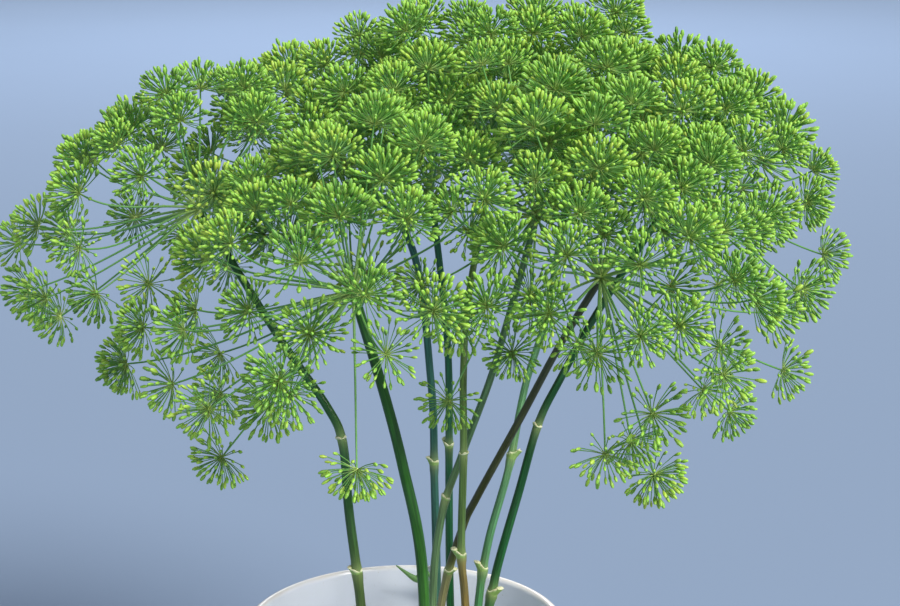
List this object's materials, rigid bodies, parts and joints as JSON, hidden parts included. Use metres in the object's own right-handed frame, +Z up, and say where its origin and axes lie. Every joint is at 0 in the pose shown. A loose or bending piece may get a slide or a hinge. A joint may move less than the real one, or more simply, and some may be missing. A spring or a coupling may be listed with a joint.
{
  "type": "dill bunch",
  "caption": "Bunch of cut dill seed heads on long stalks, standing in a wide-mouthed glazed ceramic jar.",
  "frame": {"origin": "middle of the jar's flat base", "axes": "+Z up, -Y towards the front of the bunch, +X to the right seen from the front"},
  "size_m": [0.4129, 0.3624, 0.4626],
  "materials": {
    "white_glazed_ceramic": "smooth white glaze",
    "dill_stalk": "satin living stem, finely ridged",
    "dill_umbel": "satin green fruits on fine stems"
  },
  "bodies": {
    "root": {"jar": "white_glazed_ceramic", "stalk_a": "dill_stalk", "umbel_a": "dill_umbel", "stalk_b": "dill_stalk", "umbel_b": "dill_umbel", "stalk_c": "dill_stalk", "umbel_c": "dill_umbel", "stalk_d": "dill_stalk", "umbel_d": "dill_umbel", "stalk_e": "dill_stalk", "umbel_e": "dill_umbel", "stalk_f": "dill_stalk", "umbel_f": "dill_umbel", "stalk_g": "dill_stalk", "umbel_g": "dill_umbel", "stalk_h": "dill_stalk", "umbel_h": "dill_umbel", "stalk_i": "dill_stalk", "umbel_i": "dill_umbel"}
  },
  "joints": []
}
